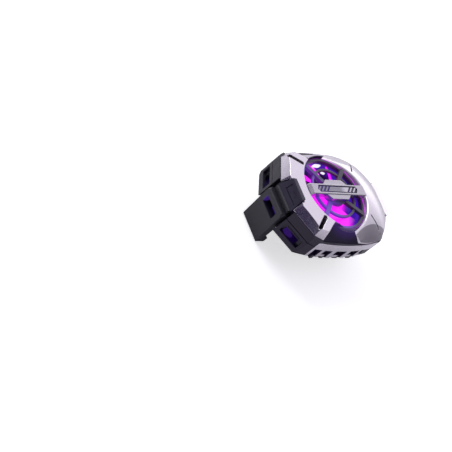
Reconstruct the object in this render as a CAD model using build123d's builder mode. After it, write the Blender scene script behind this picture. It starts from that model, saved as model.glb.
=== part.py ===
from build123d import *
import os
from math import cos, hypot, radians, sin

os.makedirs("parts", exist_ok=True)

# A clip-on cooling fan for a phone, lying face up on the tips of its two clip arms.
# The origin is the centre of the face that touches the phone. +Z runs out through the
# grille, +X is the phone's right and +Y is its top. All sizes are in millimetres.

# Main heights above the phone's back, each storey added to the one behind it
back_height = 1.5
shell_height = 10.8
band_height = 4.2
cover_height = 8.0
shell_top = back_height + shell_height
deck_height = shell_top + band_height
face_height = deck_height + cover_height

# Walls, gaps and overruns that many pieces share
wall = 1.8
floor = 1.8
deck_thickness = 1.4
groove = 0.4
seat_gap = 0.2
slide_gap = 0.25
overrun = 1.0
tall_cut = 60.0

# Round parts about the fan axis, each ring outside the one before it
duct_inner_radius = 19.7
duct_wall = 0.9
light_gap = 0.35
light_wall = 0.55
light_room = 2.3
duct_drop = 4.0
duct_rise = 3.8
light_room_height = 1.6
duct_outer_radius = duct_inner_radius + duct_wall
light_inner_radius = duct_outer_radius + light_gap
light_outer_radius = light_inner_radius + light_wall
opening_radius = light_outer_radius + seat_gap
light_room_radius = opening_radius + light_room
duct_bottom = deck_height - duct_drop
duct_top = deck_height + duct_rise
light_room_top = deck_height + light_room_height

# Plan of the body: the upper half, mirrored in the X axis and set about the opening.
# Shares along X are of the left or right reach, and shares along Y of the end's reach.
left_margin = 10.1
right_margin = 19.5
end_margin = 5.3
plan_left_x = opening_radius + left_margin
plan_right_x = opening_radius + right_margin
plan_end_y = opening_radius + end_margin
plan_corner_shares = (0.629, 0.974)
plan_right_share = 0.4148
plan_shoulder_shares = (0.7516, 0.9037)
plan_crown_shares = (0.0728, 1.0296)
plan_far_corner_shares = (0.6796, 0.9333)
plan_far_shoulder_shares = (0.7476, 0.8593)
plan_corner_x = plan_corner_shares[0] * plan_left_x
plan_corner_y = plan_corner_shares[1] * plan_end_y
plan_right_y = plan_right_share * plan_end_y
plan_shoulder_x = plan_shoulder_shares[0] * plan_left_x
plan_shoulder_y = plan_shoulder_shares[1] * plan_end_y
plan_crown_x = plan_crown_shares[0] * plan_right_x
plan_crown_y = plan_crown_shares[1] * plan_end_y
plan_far_corner_x = plan_far_corner_shares[0] * plan_right_x
plan_far_corner_y = plan_far_corner_shares[1] * plan_end_y
plan_far_shoulder_x = plan_far_shoulder_shares[0] * plan_right_x
plan_far_shoulder_y = plan_far_shoulder_shares[1] * plan_end_y

# Bays in the side walls that the clip arms lie in
left_bay_depth = 3.4
left_bay_half = 10.2
right_bay_depth = 1.8
right_bay_half = 8.6
left_bay_x = plan_left_x - left_bay_depth
right_bay_x = plan_right_x - right_bay_depth


def body_plan(inset):
    """The body's plan as a flat face, its walls moved in by inset."""
    with BuildSketch(mode=Mode.PRIVATE) as plan:
        with BuildLine():
            for side in (1, -1):
                Polyline(
                    (-plan_left_x, side * left_bay_half),
                    (-plan_shoulder_x, side * plan_shoulder_y),
                    (-plan_corner_x, side * plan_corner_y),
                )
                ThreePointArc(
                    (-plan_corner_x, side * plan_corner_y),
                    (plan_crown_x, side * plan_crown_y),
                    (plan_far_corner_x, side * plan_far_corner_y),
                )
                Polyline(
                    (plan_far_corner_x, side * plan_far_corner_y),
                    (plan_far_shoulder_x, side * plan_far_shoulder_y),
                    (plan_right_x, side * plan_right_y),
                )
            Line((-plan_left_x, left_bay_half), (-plan_left_x, -left_bay_half))
            Line((plan_right_x, plan_right_y), (plan_right_x, -plan_right_y))
        make_face()
        if inset:
            offset(amount=-inset, kind=Kind.INTERSECTION)
        for side, bay_x, bay_half in (
            (-1, left_bay_x, left_bay_half),
            (1, right_bay_x, right_bay_half),
        ):
            with Locations((side * (bay_x - inset + plan_right_x / 2), 0)):
                Rectangle(plan_right_x, 2 * (bay_half + inset), mode=Mode.SUBTRACT)
    return plan.sketch


def wall_plane(start, end, height):
    """Plane on the side wall between two corners, facing outwards, its Y upwards."""
    run_x, run_y = end[0] - start[0], end[1] - start[1]
    middle = ((start[0] + end[0]) / 2, (start[1] + end[1]) / 2, height)
    outward = (run_y, -run_x, 0)
    if outward[0] * middle[0] + outward[1] * middle[1] < 0:
        outward = (-run_y, run_x, 0)
    return Plane(origin=middle, x_dir=(-outward[1], outward[0], 0), z_dir=outward)


# Vent slots in the end walls, as left and right edges along X
vent_shares = [
    (-0.920, -0.655),
    (-0.560, -0.270),
    (-0.125, 0.285),
    (0.430, 0.790),
    (0.860, 1.080),
]
vent_spans = [(left * plan_corner_x, right * plan_corner_x) for left, right in vent_shares]
vent_rise = 0.3
vent_bottom = back_height + floor + vent_rise
vent_depth = 8.0
end_chamfer = 2.6
tab_share = 0.42
tab_rise = 1.1
tab_bottom = back_height + tab_rise
tab_height = 2.8
tab_depth = 2.6
tab_stand = 0.2

# Long windows in the slanted left walls
window_length = 12.4
window_height = 5.8
window_rise = 6.1
window_middle_z = back_height + window_rise
window_round = 0.6
window_bar = 1.0
window_bar_grip = 0.5
window_bar_rise = 0.9
window_bar_back = 1.4

# Cooling stack
pad_size = 34.0
pad_round = 3.0
pad_thickness = 0.7
boss_size = 20.0
boss_rise = 1.9
peltier_thickness = 2.7
gasket_wall = 2.0
fit_gap = 0.3
boss_height = back_height + boss_rise
gasket_inner = boss_size + 2 * fit_gap
gasket_outer = gasket_inner + 2 * gasket_wall
heatsink_bottom = boss_height + peltier_thickness

# Slides of the clip arms, under the heatsink and clear of the gasket
leg_inner = 5.6
leg_width = 2.4
leg_rise = 0.3
leg_height = 2.1
crossbar_gap = 0.7
crossbar_width = 2.0
leg_outer = leg_inner + leg_width
leg_bottom = back_height + floor + leg_rise
crossbar_inner = gasket_outer / 2 + crossbar_gap

# Slots above the left legs that let the inner light out
light_slot_inner = 0.9
light_slot_width = 4.1
light_slot_rise = 0.8
light_slot_height = 3.2
light_slot_outer = light_slot_inner + light_slot_width
light_slot_bottom = leg_bottom + leg_height + light_slot_rise

# Body screws and their bosses
left_screw_shares = (0.7013, 0.7778)
right_screw_shares = (0.6675, 0.7593)
screw_radius = 0.75
head_radius = 1.7
head_height = 1.1
head_sink = 0.15
screw_grip = 1.15
screw_length = shell_height + screw_grip - head_sink
boss_radius = 2.2
hole_clearance = 0.2
body_screw_places = []
for reach_x, (share_x, share_y) in (
    (-plan_left_x, left_screw_shares),
    (plan_right_x, right_screw_shares),
):
    for side in (1, -1):
        body_screw_places.append((share_x * reach_x, side * share_y * plan_end_y))

# Power board and socket
board_rise = 2.9
board_bottom = back_height + floor + board_rise
board_thickness = 0.8
board_left_share = 0.4927
board_left_x = board_left_share * plan_right_x
post_shares = (0.5704, 0.4074)
post_x = post_shares[0] * plan_right_x
post_y = post_shares[1] * plan_end_y
post_radius = 1.4
socket_width = 8.9
socket_height = 3.2
socket_depth = 6.5
socket_round = 1.2
socket_wall = 0.35
socket_gap = 0.25

upper_left_wall = ((-plan_shoulder_x, plan_shoulder_y), (-plan_left_x, left_bay_half))
lower_left_wall = ((-plan_shoulder_x, -plan_shoulder_y), (-plan_left_x, -left_bay_half))
socket_wall_line = (
    (plan_far_shoulder_x, -plan_far_shoulder_y),
    (plan_right_x, -plan_right_y),
)
socket_middle_z = board_bottom + board_thickness + socket_height / 2
socket_plane = wall_plane(*socket_wall_line, socket_middle_z)

# Back shell: a moulded tub, open at the front
with BuildPart() as back_shell:
    with BuildSketch(Plane.XY.offset(back_height)):
        add(body_plan(0))
    extrude(amount=shell_top - back_height)
    back_edges = back_shell.edges().group_by(Axis.Z)[0].filter_by(GeomType.CIRCLE)
    chamfer(back_edges, length=end_chamfer)
    with BuildSketch(Plane.XY.offset(back_height + floor)):
        add(body_plan(wall))
    extrude(amount=shell_top, mode=Mode.SUBTRACT)
    # Bosses for the body screws and posts for the power board
    with BuildSketch(Plane.XY.offset(back_height + floor / 2)):
        with Locations(*body_screw_places):
            Circle(boss_radius)
    extrude(amount=shell_top - back_height - floor / 2)
    with BuildSketch(Plane.XY.offset(back_height + floor / 2)):
        with Locations((post_x, post_y), (post_x, -post_y)):
            Circle(post_radius)
    extrude(amount=board_bottom - back_height - floor / 2)
    # Longitudinal bars that stand behind the left windows
    for wall_line in (upper_left_wall, lower_left_wall):
        with BuildSketch(wall_plane(*wall_line, window_middle_z).offset(-wall)):
            with Locations((0, window_bar_rise)):
                Rectangle(window_length + 2 * window_bar_grip, window_bar)
        extrude(amount=-window_bar_back)
        with BuildSketch(wall_plane(*wall_line, window_middle_z)):
            RectangleRounded(window_length, window_height, window_round)
        extrude(amount=-wall, mode=Mode.SUBTRACT)
    # Vent slots through both end walls, each but the last with a tab at its foot
    for side in (1, -1):
        with BuildSketch(Plane.XY.offset(vent_bottom)):
            for left, right in vent_spans:
                with Locations(((left + right) / 2, side * plan_end_y)):
                    Rectangle(right - left, vent_depth)
        extrude(amount=shell_top, mode=Mode.SUBTRACT)
        with BuildSketch(Plane.XY.offset(tab_bottom)):
            for left, right in vent_spans[:-1]:
                width = (right - left) * tab_share
                tab_y = plan_end_y + tab_stand - tab_depth / 2
                with Locations((right - width / 2, side * tab_y)):
                    Rectangle(width, tab_depth)
        extrude(amount=tab_height)
    # Window in the floor for the cold plate
    with BuildSketch(Plane.XY.offset(back_height)):
        Rectangle(gasket_inner, gasket_inner)
    extrude(amount=floor, mode=Mode.SUBTRACT)
    # Slots in the bay walls for the legs of the slides, and light slots above them
    leg_slot_width = leg_outer - leg_inner + 2 * slide_gap
    with BuildSketch(Plane.XY.offset(leg_bottom - slide_gap)):
        for bay_middle in (-left_bay_x + wall / 2, right_bay_x - wall / 2):
            for side in (1, -1):
                with Locations((bay_middle, side * (leg_inner + leg_outer) / 2)):
                    Rectangle(2 * wall, leg_slot_width)
    extrude(amount=leg_height + 2 * slide_gap, mode=Mode.SUBTRACT)
    with BuildSketch(Plane.XY.offset(light_slot_bottom)):
        for side in (1, -1):
            slot_y = side * (light_slot_inner + light_slot_outer) / 2
            with Locations((-left_bay_x + wall / 2, slot_y)):
                Rectangle(2 * wall, light_slot_outer - light_slot_inner)
    extrude(amount=light_slot_height, mode=Mode.SUBTRACT)
    # Mouth of the power socket
    with BuildSketch(socket_plane):
        RectangleRounded(
            socket_width + 2 * socket_gap,
            socket_height + 2 * socket_gap,
            socket_round,
        )
    extrude(amount=-2 * wall, mode=Mode.SUBTRACT)
    # Screw holes with sunk heads
    with Locations(*[(x, y, back_height) for x, y in body_screw_places]):
        with Locations(Rotation(180, 0, 0)):
            CounterBoreHole(
                screw_radius + hole_clearance,
                head_radius + hole_clearance,
                head_height + head_sink,
                shell_top,
            )
back_shell.part.label = "back_shell"
export_step(back_shell.part, "parts/back_shell.step")

# Middle frame: dark band, deck and fan duct
frame_bottom = shell_top + groove
left_rim_rise = 1.4
left_rim_top = deck_height + left_rim_rise
left_rim_share = 0.5975
left_rim_x = left_rim_share * plan_left_x
spigot_height = 1.5
spigot_wall = 1.0
ear_radius = 1.7
ear_reach = 2.5
ear_ring_radius = duct_inner_radius + ear_reach
ear_count = 3
ear_start = 90
ear_height = 2.0
fan_screw_radius = 0.6
pilot_gap = 0.05

with BuildPart() as mid_frame:
    with BuildSketch(Plane.XY.offset(frame_bottom)):
        add(body_plan(0))
        add(body_plan(wall), mode=Mode.SUBTRACT)
    extrude(amount=deck_height - frame_bottom)
    # Raised rim under the left cover
    with BuildSketch(Plane.XY.offset(deck_height)):
        add(body_plan(0))
        add(body_plan(wall), mode=Mode.SUBTRACT)
        with Locations((plan_right_x - left_rim_x, 0)):
            Rectangle(2 * plan_right_x, tall_cut, mode=Mode.SUBTRACT)
    extrude(amount=left_rim_top - deck_height)
    # Spigot that drops inside the back shell
    with BuildSketch(Plane.XY.offset(frame_bottom - spigot_height)):
        add(body_plan(wall + seat_gap))
        add(body_plan(wall + seat_gap + spigot_wall), mode=Mode.SUBTRACT)
    extrude(amount=spigot_height + deck_height - frame_bottom)
    with BuildSketch(Plane.XY.offset(frame_bottom - spigot_height)):
        with Locations(*body_screw_places):
            Circle(boss_radius + seat_gap)
    extrude(amount=shell_top - frame_bottom + spigot_height, mode=Mode.SUBTRACT)
    # Deck
    with BuildSketch(Plane.XY.offset(deck_height - deck_thickness)):
        add(body_plan(0))
    extrude(amount=deck_thickness)
    with BuildSketch(Plane.XY.offset(deck_height - deck_thickness)):
        Circle(duct_inner_radius)
    extrude(amount=deck_thickness, mode=Mode.SUBTRACT)
    # Fan duct
    with BuildSketch(Plane.XY.offset(duct_bottom)):
        Circle(duct_outer_radius)
        Circle(duct_inner_radius, mode=Mode.SUBTRACT)
    extrude(amount=duct_top - duct_bottom)
    # Ears that the fan base is screwed to, and bosses for the body screws
    with BuildSketch(Plane.XY.offset(duct_bottom)):
        with PolarLocations(ear_ring_radius, ear_count, ear_start):
            Circle(ear_radius)
        Circle(duct_inner_radius, mode=Mode.SUBTRACT)
    extrude(amount=deck_height - duct_bottom - deck_thickness / 2)
    with BuildSketch(Plane.XY.offset(shell_top)):
        with Locations(*body_screw_places):
            Circle(boss_radius)
    extrude(amount=deck_height - shell_top - deck_thickness / 2)
    with BuildSketch(Plane.XY.offset(duct_bottom)):
        with PolarLocations(ear_ring_radius, ear_count, ear_start):
            Circle(fan_screw_radius + pilot_gap)
    extrude(amount=ear_height, mode=Mode.SUBTRACT)
    with BuildSketch(Plane.XY.offset(shell_top)):
        with Locations(*body_screw_places):
            Circle(screw_radius + pilot_gap)
    extrude(amount=deck_height - shell_top - deck_thickness / 2, mode=Mode.SUBTRACT)
mid_frame.part.label = "mid_frame"
export_step(mid_frame.part, "parts/mid_frame.step")

# Body screws, from the back into the frame
with BuildPart() as body_screws:
    with BuildSketch(Plane.XY.offset(back_height + head_sink)):
        with Locations(*body_screw_places):
            Circle(head_radius)
    extrude(amount=head_height)
    with BuildSketch(Plane.XY.offset(back_height + head_sink)):
        with Locations(*body_screw_places):
            Circle(screw_radius)
    extrude(amount=screw_length)
    with BuildSketch(Plane.XY.offset(back_height + head_sink)):
        with Locations(*body_screw_places):
            Rectangle(2 * screw_radius, screw_radius / 2)
            Rectangle(screw_radius / 2, 2 * screw_radius)
    extrude(amount=head_height / 2, mode=Mode.SUBTRACT)
body_screws.part.label = "body_screws"
export_step(body_screws.part, "parts/body_screws.step")

# Knuckle of the left arm, which fills the notch in the silver plate
knuckle_sink = 0.2
knuckle_bottom = deck_height - knuckle_sink
knuckle_rise = 0.1
knuckle_top = face_height + knuckle_rise
knuckle_front_gap = 0.4
knuckle_front_low = plan_left_x - knuckle_front_gap
knuckle_front_rake = 2.7
knuckle_front_high = knuckle_front_low - knuckle_front_rake
knuckle_rear_gap = 0.6
knuckle_rear_low = left_bay_x + knuckle_rear_gap
knuckle_rear_rake = 2.05
knuckle_rear_high = knuckle_rear_low - knuckle_rear_rake
knuckle_half_low = 8.3
knuckle_side_rake = 2.2
knuckle_half_high = knuckle_half_low - knuckle_side_rake
notch_gap = 0.3
notch_side_gap = 0.65


def knuckle_block(front_gap, rear_gap, side_gap):
    """The knuckle's wedge, grown by a gap to the front, to the rear and to each side."""
    with BuildPart(mode=Mode.PRIVATE) as wedge:
        for height, front, rear, half in (
            (knuckle_bottom, knuckle_front_low, knuckle_rear_low, knuckle_half_low),
            (knuckle_top, knuckle_front_high, knuckle_rear_high, knuckle_half_high),
        ):
            with BuildSketch(Plane.XY.offset(height)):
                with Locations((-(front + front_gap + rear - rear_gap) / 2, 0)):
                    Rectangle(front + front_gap - rear + rear_gap, 2 * (half + side_gap))
        loft(ruled=True)
    return wedge.part


# Left cover: silver armour plate, its face a shallow cone outside the fold
left_cover_base = left_rim_top + seat_gap
left_low_shares = [(0.978, 0.333), (0.742, 0.859), (0.585, 0.957), (0.349, 0.670)]
left_high_shares = [(0.868, 0.333), (0.682, 0.796), (0.531, 0.848), (0.349, 0.670)]
rim_width = 1.7
fold_radius = opening_radius + rim_width
fold_drop_share = 0.24
plate_thickness = 3.9
left_pocket_top = face_height - plate_thickness
left_pocket_shares = [(0.893, 0.385), (0.704, 0.793), (0.575, 0.874), (0.519, 0.807)]
radial_slot_middle_shares = (0.6165, 0.6835)
radial_slot_end_shares = (0.689, 0.774)
radial_slot_width = 2.3


def plate_outline(corner_shares):
    """Flat face through the corners, given for the upper side as shares of the plan."""
    corners = [(x * plan_left_x, y * plan_end_y) for x, y in corner_shares]
    upper = [(-x, y) for x, y in corners]
    lower = [(-x, -y) for x, y in reversed(corners)]
    with BuildSketch(mode=Mode.PRIVATE) as outline:
        with BuildLine():
            Polyline(*upper, *lower, close=True)
        make_face()
    return outline.sketch


with BuildPart() as left_cover:
    with BuildSketch(Plane.XY.offset(left_cover_base)):
        add(plate_outline(left_low_shares))
    with BuildSketch(Plane.XY.offset(face_height)):
        add(plate_outline(left_high_shares))
    loft(ruled=True)
    # The face falls away outside the fold
    with BuildSketch(Plane.XZ):
        with BuildLine():
            Polyline(
                (0, left_cover_base - overrun),
                (plan_right_x, left_cover_base - overrun),
                (plan_right_x, face_height - fold_drop_share * (plan_right_x - fold_radius)),
                (fold_radius, face_height),
                (0, face_height),
                close=True,
            )
        make_face()
    revolve(axis=Axis.Z, mode=Mode.INTERSECT)
    with BuildSketch(Plane.XY.offset(left_cover_base)):
        Circle(opening_radius)
    extrude(amount=face_height, mode=Mode.SUBTRACT)
    # Hollow underneath, and the two radial slots that open into it
    with BuildSketch(Plane.XY.offset(left_cover_base)):
        add(plate_outline(left_pocket_shares))
        Circle(opening_radius + wall, mode=Mode.SUBTRACT)
    extrude(amount=left_pocket_top - left_cover_base, mode=Mode.SUBTRACT)
    for side in (1, -1):
        with BuildSketch(Plane.XY.offset(left_cover_base)):
            middle_share_x, middle_share_y = radial_slot_middle_shares
            end_share_x, end_share_y = radial_slot_end_shares
            SlotCenterPoint(
                (-middle_share_x * plan_left_x, side * middle_share_y * plan_end_y),
                (-end_share_x * plan_left_x, side * end_share_y * plan_end_y),
                radial_slot_width,
            )
        extrude(amount=face_height, mode=Mode.SUBTRACT)
    # Notch for the knuckle, open to the front so that the arm can slide out
    add(knuckle_block(left_bay_depth, notch_gap, notch_side_gap), mode=Mode.SUBTRACT)
left_cover.part.label = "left_cover"
export_step(left_cover.part, "parts/left_cover.step")

# Right cover: a domed silver shell of three faces that meet in two creases


def ball_radius(reach, drop):
    """Radius of a ball whose surface falls by drop at a distance of reach from its top."""
    return (reach**2 + drop**2) / (2 * drop)


cover_gap = 0.3
right_base = deck_height + cover_gap
dome_rise = 0.8
dome_drop = 6.37
dome_centre_share = 0.3301
flank_rise = 7.6
flank_drop = 15.55
flank_centre_shares = (0.2209, 0.8037)
shell_thickness = 1.5
shell_low_shares = [(0.070, 0.789), (0.228, 0.996), (0.471, 0.985), (0.711, 0.889)]
shell_high_shares = [(0.126, 0.785), (0.277, 0.963), (0.481, 0.948), (0.694, 0.859)]
cap_joint_inset = 1.0
cap_joint_bow = 1.5
cap_joint_margin = 0.6
cap_joint_x = plan_right_x - cap_joint_inset
cap_joint_y = plan_right_y - cap_joint_margin
cap_joint_middle_x = cap_joint_x - cap_joint_bow
dome_x = dome_centre_share * plan_right_x
dome_radius = ball_radius(cap_joint_x - dome_x, dome_drop)
flank_x = flank_centre_shares[0] * plan_right_x
flank_y = flank_centre_shares[1] * plan_end_y
flank_reach = hypot(plan_far_corner_x - flank_x, plan_far_corner_y + flank_y)
flank_radius = ball_radius(flank_reach, flank_drop)
crease_slot_shares = [(0.507, 0.500), (0.646, 0.737)]
crease_slot_width = 0.9
short_slot_shares = [(0.670, 0.774), (0.704, 0.848)]
short_slot_width = 0.7


def shell_outline(corner_shares, inset):
    """Right cover's outline from the end edge to the claw cap, moved in by inset."""
    corners = [(x * plan_right_x, y * plan_end_y) for x, y in corner_shares]
    end, foot, bulge, corner = corners
    with BuildSketch(mode=Mode.PRIVATE) as outline:
        with BuildLine():
            for side in (1, -1):
                Line((end[0], side * end[1]), (foot[0], side * foot[1]))
                ThreePointArc(
                    (foot[0], side * foot[1]),
                    (bulge[0], side * bulge[1]),
                    (corner[0], side * corner[1]),
                )
                Line((corner[0], side * corner[1]), (cap_joint_x, side * cap_joint_y))
            Line((end[0], end[1]), (end[0], -end[1]))
            ThreePointArc(
                (cap_joint_x, cap_joint_y),
                (cap_joint_middle_x, 0),
                (cap_joint_x, -cap_joint_y),
            )
        make_face()
        if inset:
            offset(amount=-inset, kind=Kind.INTERSECTION)
    return outline.sketch


def shell_body(inset):
    """The right cover's faceted dome, all its outer faces moved in by inset."""
    with BuildPart(mode=Mode.PRIVATE) as body:
        with BuildSketch(Plane.XY.offset(right_base)):
            add(shell_outline(shell_low_shares, inset))
        with BuildSketch(Plane.XY.offset(face_height + overrun)):
            add(shell_outline(shell_high_shares, inset))
        loft(ruled=True)
        with Locations((dome_x, 0, face_height + dome_rise - dome_radius)):
            Sphere(dome_radius - inset, mode=Mode.INTERSECT)
        for side in (1, -1):
            with Locations((flank_x, side * flank_y, face_height + flank_rise - flank_radius)):
                Sphere(flank_radius - inset, mode=Mode.INTERSECT)
    return body.part


lip_radius = 0.9
rim_tolerance = 0.05
middle_share = 0.5
cap_slit_width = 1.2
cap_slit_half = 3.1

with BuildPart() as right_cover:
    add(shell_body(0))
    with BuildSketch(Plane.XY.offset(right_base - overrun)):
        Circle(opening_radius)
    extrude(amount=face_height, mode=Mode.SUBTRACT)
    rim_edges = [
        edge
        for edge in right_cover.edges()
        if edge.bounding_box().min.Z > right_base + overrun
        and all(
            abs(hypot(point.X, point.Y) - opening_radius) < rim_tolerance
            for point in (edge @ 0, edge @ middle_share, edge @ 1)
        )
        and edge.bounding_box().size.Z < edge.length / 2
    ]
    fillet(rim_edges, radius=lip_radius)
    with BuildPart(mode=Mode.PRIVATE) as core:
        add(shell_body(shell_thickness))
        with BuildSketch(Plane.XY.offset(right_base - overrun)):
            Circle(opening_radius + wall)
        extrude(amount=face_height, mode=Mode.SUBTRACT)
    add(core.part, mode=Mode.SUBTRACT)
    for side in (1, -1):
        for slot_shares, width in (
            (crease_slot_shares, crease_slot_width),
            (short_slot_shares, short_slot_width),
        ):
            inner, outer = [(x * plan_right_x, side * y * plan_end_y) for x, y in slot_shares]
            with BuildSketch(Plane.XY.offset(right_base)):
                SlotCenterPoint(
                    ((inner[0] + outer[0]) / 2, (inner[1] + outer[1]) / 2),
                    outer,
                    width,
                )
            extrude(amount=face_height, mode=Mode.SUBTRACT)
    # Room for the light board under the rim, and the dark slit at the claw cap
    with BuildSketch(Plane.XY.offset(right_base)):
        Circle(light_room_radius)
    extrude(amount=light_room_top - right_base, mode=Mode.SUBTRACT)
    with BuildSketch(Plane.XY.offset(right_base)):
        with Locations((cap_joint_middle_x, 0)):
            Rectangle(cap_slit_width, 2 * cap_slit_half)
    extrude(amount=face_height, mode=Mode.SUBTRACT)
right_cover.part.label = "right_cover"
export_step(right_cover.part, "parts/right_cover.step")

# Claw cap: silver facet above the right claw
cap_base = deck_height + slide_gap
cap_gap = 0.35
cap_reach = 4.1
cap_side_gap = 0.1
cap_slope_rise = 1.85
cap_slope_inset = 1.3
cap_edge_rise = 0.15
cap_step = 0.5
cap_step_gap = 0.2
claw_drop = 1.4
cap_outer_x = plan_right_x + cap_reach
cap_outer_half = 8.1
cap_side_low = cap_joint_y - cap_side_gap
cap_slope_height = cap_base + cap_slope_rise
cap_slope_x = cap_joint_x - cap_slope_inset
cap_edge_height = cap_base + cap_edge_rise
cap_step_x = plan_right_x + cap_step
cap_step_half = cap_outer_half - cap_step_gap
claw_top = deck_height - claw_drop

with BuildPart() as claw_cap:
    with BuildSketch(Plane.XY.offset(cap_base)):
        with BuildLine():
            ThreePointArc(
                (cap_joint_x + cap_gap, cap_side_low),
                (cap_joint_middle_x + cap_gap, 0),
                (cap_joint_x + cap_gap, -cap_side_low),
            )
            Polyline(
                (cap_joint_x + cap_gap, -cap_side_low),
                (cap_outer_x, -cap_outer_half),
                (cap_outer_x, cap_outer_half),
                (cap_joint_x + cap_gap, cap_side_low),
            )
        make_face()
    extrude(amount=cap_slope_height - cap_base + overrun)
    split(
        bisect_by=Plane(
            origin=(cap_slope_x, 0, cap_slope_height),
            x_dir=(0, 1, 0),
            z_dir=(cap_slope_height - cap_edge_height, 0, cap_outer_x - cap_slope_x),
        ),
        keep=Keep.BOTTOM,
    )
    with BuildSketch(Plane.XY.offset(claw_top)):
        with Locations(((cap_step_x + cap_outer_x) / 2, 0)):
            Rectangle(cap_outer_x - cap_step_x, 2 * cap_step_half)
    extrude(amount=cap_base - claw_top)
claw_cap.part.label = "claw_cap"
export_step(claw_cap.part, "parts/claw_cap.step")

# Sloping dark panels between the silver halves, with a raised lip at the opening
panel_base = deck_height + seat_gap
panel_side_shares = [(-0.340, 0.680), (-0.576, 0.967)]
panel_foot_shares = [(-0.563, 0.985), (-0.138, 1.007), (0.283, 0.994)]
panel_top_shares = (0.082, 0.789)
panel_lip_width = 1.2
panel_lip_drop = 1.2
panel_lip_top = face_height - panel_lip_drop
panel_fold_shares = (-0.088, 0.841)
panel_fold_drop = 3.0
panel_fold_height = face_height - panel_fold_drop
panel_right_slope_shares = (0, 1, 0.884)
panel_left_slope_shares = (-0.076, 1, 0.813)


def panel_outline(side):
    """Flat outline of a sloping panel; side is 1 for the upper one, -1 for the lower."""

    def place(shares):
        return (shares[0] * plan_left_x, side * shares[1] * plan_end_y)

    with BuildSketch(mode=Mode.PRIVATE) as outline:
        with BuildLine():
            Polyline((0, 0), *map(place, panel_side_shares), place(panel_foot_shares[0]))
            ThreePointArc(*map(place, panel_foot_shares))
            Polyline(place(panel_foot_shares[-1]), place(panel_top_shares), (0, 0))
        make_face()
        Circle(opening_radius, mode=Mode.SUBTRACT)
    return outline.sketch


def sloping_panel(side):
    """A sloping panel: two slopes that meet in a fold, and the lip above them."""
    fold_point = (
        panel_fold_shares[0] * plan_left_x,
        side * panel_fold_shares[1] * plan_end_y,
        panel_fold_height,
    )
    with BuildPart() as panel:
        with BuildSketch(Plane.XY.offset(panel_base)):
            add(panel_outline(side))
        extrude(amount=face_height - panel_base)
        for along, outward, upward in (panel_right_slope_shares, panel_left_slope_shares):
            slope = Plane(
                origin=fold_point,
                x_dir=(0, -side * upward, outward),
                z_dir=(along, side * outward, upward),
            )
            split(bisect_by=slope, keep=Keep.BOTTOM)
        with BuildSketch(Plane.XY.offset(panel_base)):
            Circle(opening_radius + panel_lip_width)
            add(panel_outline(side), mode=Mode.INTERSECT)
        extrude(amount=panel_lip_top - panel_base)
        with BuildSketch(Plane.XY.offset(panel_base)):
            Circle(light_room_radius)
        extrude(amount=light_room_top - panel_base, mode=Mode.SUBTRACT)
    return panel.part


upper_panel = sloping_panel(1)
upper_panel.label = "upper_panel"
export_step(upper_panel, "parts/upper_panel.step")
lower_panel = sloping_panel(-1)
lower_panel.label = "lower_panel"
export_step(lower_panel, "parts/lower_panel.step")

# Silver strips along the end walls, with ribs between the vent slots
trim_stand = 0.5
trim_left_inset = 0.2
trim_right_shares = (0.6214, 0.9759)
trim_root = 3.0
strip_height = 5.2
rib_rise = 1.0
foot_rise = 1.0
foot_height = 1.7
trim_left_x = plan_corner_x - trim_left_inset
trim_left_y = plan_corner_y + trim_stand
trim_crown_y = plan_crown_y + trim_stand
trim_right_x = trim_right_shares[0] * plan_right_x
trim_right_y = trim_right_shares[1] * plan_end_y
trim_root_y = plan_end_y - trim_root
strip_top = deck_height - seat_gap
strip_bottom = strip_top - strip_height
rib_bottom = vent_bottom + rib_rise
foot_bottom = rib_bottom + foot_rise
foot_top = foot_bottom + foot_height
foot_share = 0.5


def trim_outline(side, left, right):
    """Plan of the strip outside the end wall, between two places along X."""
    with BuildSketch(mode=Mode.PRIVATE) as outline:
        with BuildLine():
            ThreePointArc(
                (-trim_left_x, side * trim_left_y),
                (plan_crown_x, side * trim_crown_y),
                (trim_right_x, side * trim_right_y),
            )
            Polyline(
                (trim_right_x, side * trim_right_y),
                (trim_right_x, side * trim_root_y),
                (-trim_left_x, side * trim_root_y),
                (-trim_left_x, side * trim_left_y),
            )
        make_face()
        add(body_plan(0), mode=Mode.SUBTRACT)
        with Locations(((left + right) / 2, side * plan_end_y)):
            Rectangle(right - left, vent_depth, mode=Mode.INTERSECT)
    return outline.sketch


def vent_trim(side):
    """A strip with its ribs, each rib with a foot that reaches over the next slot."""
    with BuildPart() as trim:
        with BuildSketch(Plane.XY.offset(strip_bottom)):
            add(trim_outline(side, -trim_left_x, trim_right_x))
        extrude(amount=strip_top - strip_bottom)
        with BuildSketch(Plane.XY.offset(rib_bottom)):
            add(trim_outline(side, -trim_left_x, vent_spans[0][0]))
        extrude(amount=strip_bottom - rib_bottom)
        for slot, next_slot in zip(vent_spans, vent_spans[1:]):
            with BuildSketch(Plane.XY.offset(rib_bottom)):
                add(trim_outline(side, slot[1], next_slot[0]))
            extrude(amount=strip_bottom - rib_bottom)
            foot_end = next_slot[0] + foot_share * (next_slot[1] - next_slot[0])
            with BuildSketch(Plane.XY.offset(foot_bottom)):
                add(trim_outline(side, slot[1], foot_end))
            extrude(amount=foot_top - foot_bottom)
    return trim.part


upper_vent_trim = vent_trim(1)
upper_vent_trim.label = "upper_vent_trim"
export_step(upper_vent_trim, "parts/upper_vent_trim.step")
lower_vent_trim = vent_trim(-1)
lower_vent_trim.label = "lower_vent_trim"
export_step(lower_vent_trim, "parts/lower_vent_trim.step")

# Clip arms: a window in the face, a hook at the tip and a fork that slides in the body
phone_thickness = 9.1
hook_thickness = 3.6
hook_reach = 3.2
tip_bevel = 0.6
step_height = 0.9
step_rise = 0.3
arm_gap = 0.3
hook_top = -phone_thickness
tip_bottom = hook_top - hook_thickness

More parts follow.
